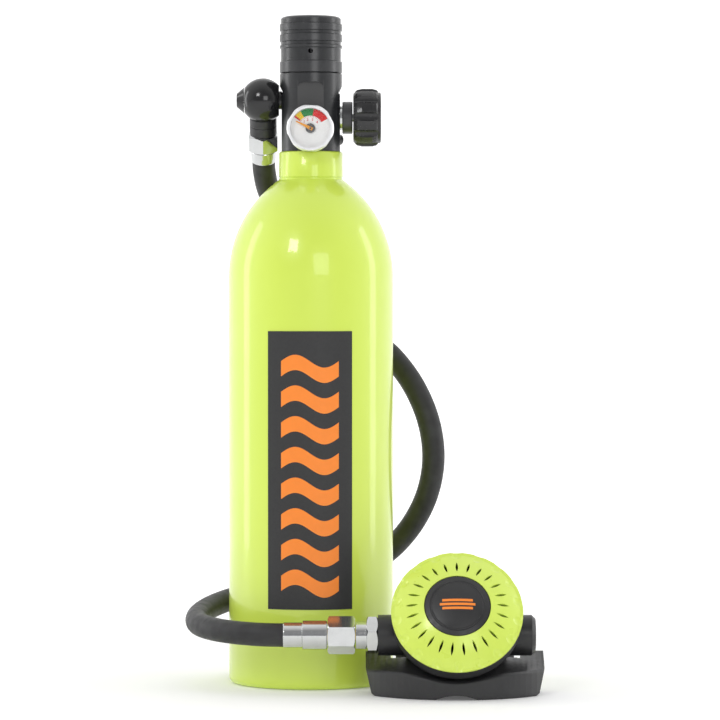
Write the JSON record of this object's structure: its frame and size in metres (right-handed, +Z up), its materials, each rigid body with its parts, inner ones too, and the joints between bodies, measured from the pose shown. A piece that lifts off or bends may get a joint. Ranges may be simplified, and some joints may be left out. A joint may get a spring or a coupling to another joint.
{
  "type": "scuba tank",
  "caption": "Small dive cylinder with a one-piece valve and first stage, pressure gauge, turning knob, ball swivel, hose and second-stage regulator.",
  "frame": {"origin": "centre of the cylinder's base, on the floor", "axes": "+Z up along the cylinder, +X towards the knob, +Y to the back; the gauge and the second stage's cover face -Y"},
  "size_m": [0.1783, 0.149, 0.3371],
  "materials": {
    "bottle_paint": "gloss",
    "label": null,
    "black_anodised": "satin",
    "gloss_black": "gloss",
    "chrome": "polished",
    "brass": "machined",
    "steel": "spring wire and small parts",
    "rubber": "matt",
    "seal": "hard white polymer",
    "copper": "thin foil",
    "silver_case": "turned",
    "dial": "printed",
    "needle_orange": "matt",
    "glass": "clear",
    "cover_plastic": "gloss",
    "black_plastic": "satin",
    "grey_plastic": "satin",
    "silicone": "soft silicone"
  },
  "bodies": {
    "bottle": {"cylinder": "bottle_paint", "tank_label": "label", "neck_o_ring": "rubber", "valve_body": "black_anodised", "dip_tube": "brass", "seat_insert": "seal", "packing_ring": "chrome", "bonnet_nut": "black_anodised", "stem_o_ring": "rubber", "burst_disc_plug": "black_anodised", "burst_disc": "copper", "fill_nipple": "chrome", "check_spring": "steel", "first_stage_cap": "black_anodised", "piston_spring": "steel", "gauge_case": "silver_case", "gauge_socket": "chrome", "dial_plate": "dial", "bourdon_tube": "brass", "gauge_lens": "glass", "swivel_bolt": "gloss_black", "swivel_end_cap": "gloss_black", "hose": "rubber", "lower_ferrule": "chrome", "lower_hose_nut": "chrome", "hose_barb": "brass"},
    "handwheel": {"knob": "black_plastic", "knob_screw": "steel", "valve_stem": "steel"},
    "seat": {"seat_carrier": "brass", "valve_seat": "seal"},
    "check_ball": {"fill_check": "brass"},
    "needle": {"gauge_needle": "needle_orange", "needle_hub": "black_plastic"},
    "first_stage_piston": {"piston": "steel", "piston_o_ring": "rubber"},
    "swivel": {"swivel_ball": "gloss_black", "swivel_collar": "black_plastic", "upper_hose_nut": "chrome", "upper_ferrule": "chrome"},
    "second_stage": {"inlet_fitting": "chrome", "regulator_case": "black_plastic", "valve_barrel": "brass", "orifice": "chrome", "poppet_spring": "steel", "diaphragm": "silicone", "purge_spring": "steel", "front_cover": "cover_plastic", "exhaust_tee": "grey_plastic", "mouthpiece": "silicone", "mouthpiece_tie": "black_plastic"},
    "purge": {"purge_button": "black_plastic"},
    "plate": {"diaphragm_plate": "steel"},
    "lever": {"demand_lever": "steel"},
    "poppet_body": {"poppet": "seal"},
    "exhaust_flap": {"exhaust_valve": "silicone"}
  },
  "joints": [
    {"name": "knob_turn", "type": "hinge", "parent": "bottle", "child": "handwheel", "pos_m": [0.028, 0, 0.28536], "axis": [1, 0, 0], "range_deg": [0, 540]},
    {"name": "seat_lift", "type": "slide", "parent": "handwheel", "child": "seat", "axis": [1, 0, 0], "range_m": [0, 0.0015]},
    {"name": "check_ball_slide", "type": "slide", "parent": "bottle", "child": "check_ball", "axis": [0, -1, 0], "range_m": [0, 0.0015], "stiffness_N_per_m": 3, "springref_m": -0.001, "deforming": ["check_spring"]},
    {"name": "needle_turn", "type": "hinge", "parent": "bottle", "child": "needle", "pos_m": [0, -0.0215, 0.27915], "axis": [0, 1, 0], "range_deg": [0, 125], "stiffness_Nm_per_rad": 0.000005, "springref_deg": -28.65},
    {"name": "piston_slide", "type": "slide", "parent": "bottle", "child": "first_stage_piston", "axis": [0, 0, -1], "range_m": [0, 0.0015], "stiffness_N_per_m": 400, "springref_m": -0.002, "deforming": ["piston_spring"]},
    {"name": "swivel_turn", "type": "hinge", "parent": "bottle", "child": "swivel", "pos_m": [-0.0243, 0, 0.29415], "axis": [1, 0, 0], "range_deg": [0, 15], "deforming": ["hose"]},
    {"name": "second_stage_turn", "type": "hinge", "parent": "bottle", "child": "second_stage", "pos_m": [0.025, -0.058, 0.0291], "axis": [1, 0, 0], "range_deg": [-75, 15]},
    {"name": "purge_press", "type": "slide", "parent": "second_stage", "child": "purge", "axis": [0, 0.8554, -0.518], "range_m": [0, 0.003], "stiffness_N_per_m": 100, "springref_m": -0.001, "deforming": ["purge_spring"]},
    {"name": "plate_slide", "type": "slide", "parent": "second_stage", "child": "plate", "axis": [0, 0.8554, -0.518], "range_m": [0, 0.003], "deforming": ["diaphragm"]},
    {"name": "lever_tilt", "type": "hinge", "parent": "second_stage", "child": "lever", "pos_m": [0.076, -0.06262, 0.0319], "axis": [0, -0.518, -0.8554], "range_deg": [0, 12]},
    {"name": "poppet_slide", "type": "slide", "parent": "second_stage", "child": "poppet_body", "axis": [1, 0, 0], "range_m": [0, 0.0009], "deforming": ["poppet_spring"]},
    {"name": "exhaust_lift", "type": "slide", "parent": "second_stage", "child": "exhaust_flap", "axis": [0, -0.518, -0.8554], "range_m": [0, 0.001], "stiffness_N_per_m": 2, "springref_m": -0.004}
  ],
  "couplings": [
    {"joint": "seat_lift", "follows": "knob_turn", "m_per_rad": 0.000159},
    {"joint": "plate_slide", "follows": "purge_press", "ratio": 1},
    {"joint": "lever_tilt", "follows": "purge_press", "rad_per_m": 69},
    {"joint": "poppet_slide", "follows": "purge_press", "ratio": 0.29}
  ]
}
